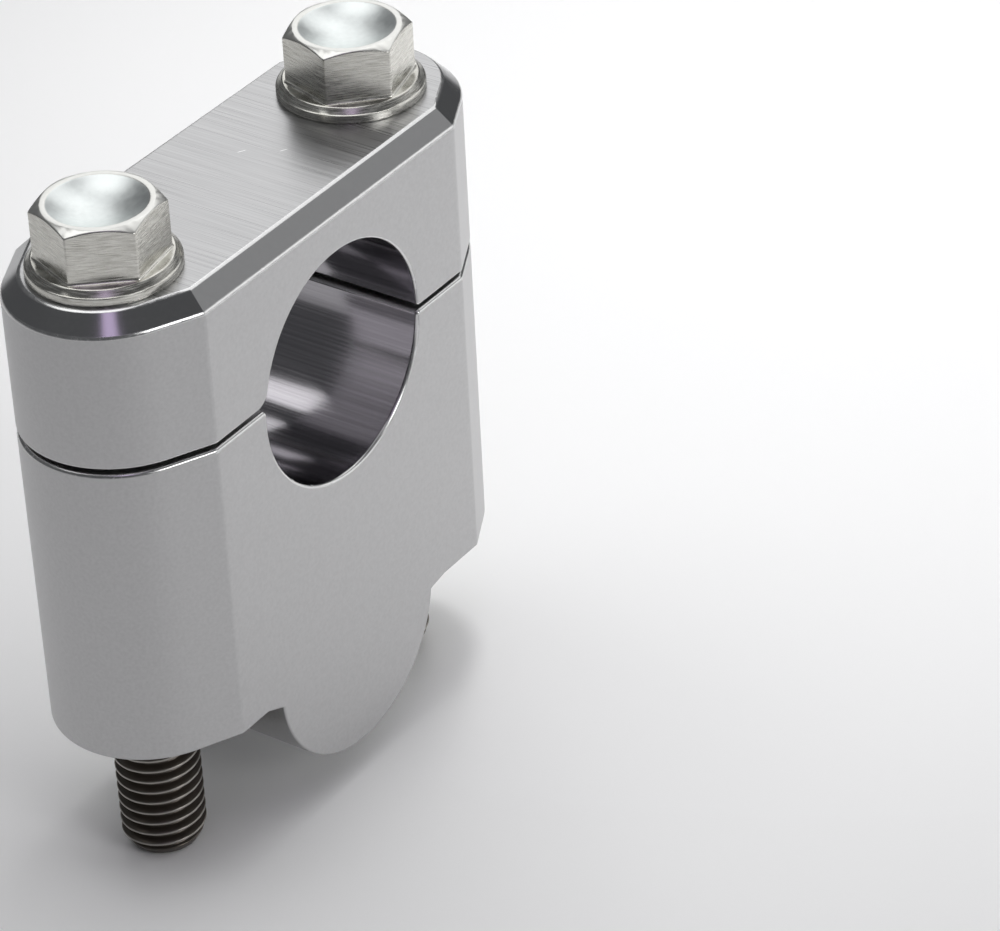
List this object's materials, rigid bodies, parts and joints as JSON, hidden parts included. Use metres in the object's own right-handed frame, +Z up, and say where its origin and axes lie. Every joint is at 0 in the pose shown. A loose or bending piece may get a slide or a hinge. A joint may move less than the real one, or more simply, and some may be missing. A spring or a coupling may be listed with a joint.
{
  "type": "motorcycle bar riser",
  "caption": "Machined block that lifts a motorcycle handlebar: half-round foot for the lower clamp, split bar bore with clamp cap, and long flange bolts through both.",
  "frame": {"origin": "middle of the half-round foot's axis, midway between the bolts", "axes": "+X along the block from the front bolt to the rear bolt, +Y along the handlebar, +Z up through the clamp cap"},
  "size_m": [0.07, 0.026, 0.0851],
  "materials": {
    "riser_block": "satin, machined",
    "clamp_cap": "satin, brushed across the top",
    "front_bolt": "bright zinc head, dark thread",
    "rear_bolt": "bright zinc head, dark thread"
  },
  "bodies": {
    "riser_block": {"riser_block": "riser_block"},
    "clamp_cap": {"clamp_cap": "clamp_cap"},
    "front_bolt": {"front_bolt": "front_bolt"},
    "rear_bolt": {"rear_bolt": "rear_bolt"}
  },
  "joints": [
    {"name": "cap_lift", "type": "slide", "parent": "riser_block", "child": "clamp_cap", "axis": [0, 0, 1], "range_m": [0, 0.062]},
    {"name": "front_bolt_turn", "type": "hinge", "parent": "clamp_cap", "child": "front_bolt", "pos_m": [-0.02265, 0, 0.0578], "axis": [0, 0, 1], "continuous": true},
    {"name": "rear_bolt_turn", "type": "hinge", "parent": "clamp_cap", "child": "rear_bolt", "pos_m": [0.02265, 0, 0.0578], "axis": [0, 0, 1], "continuous": true}
  ]
}
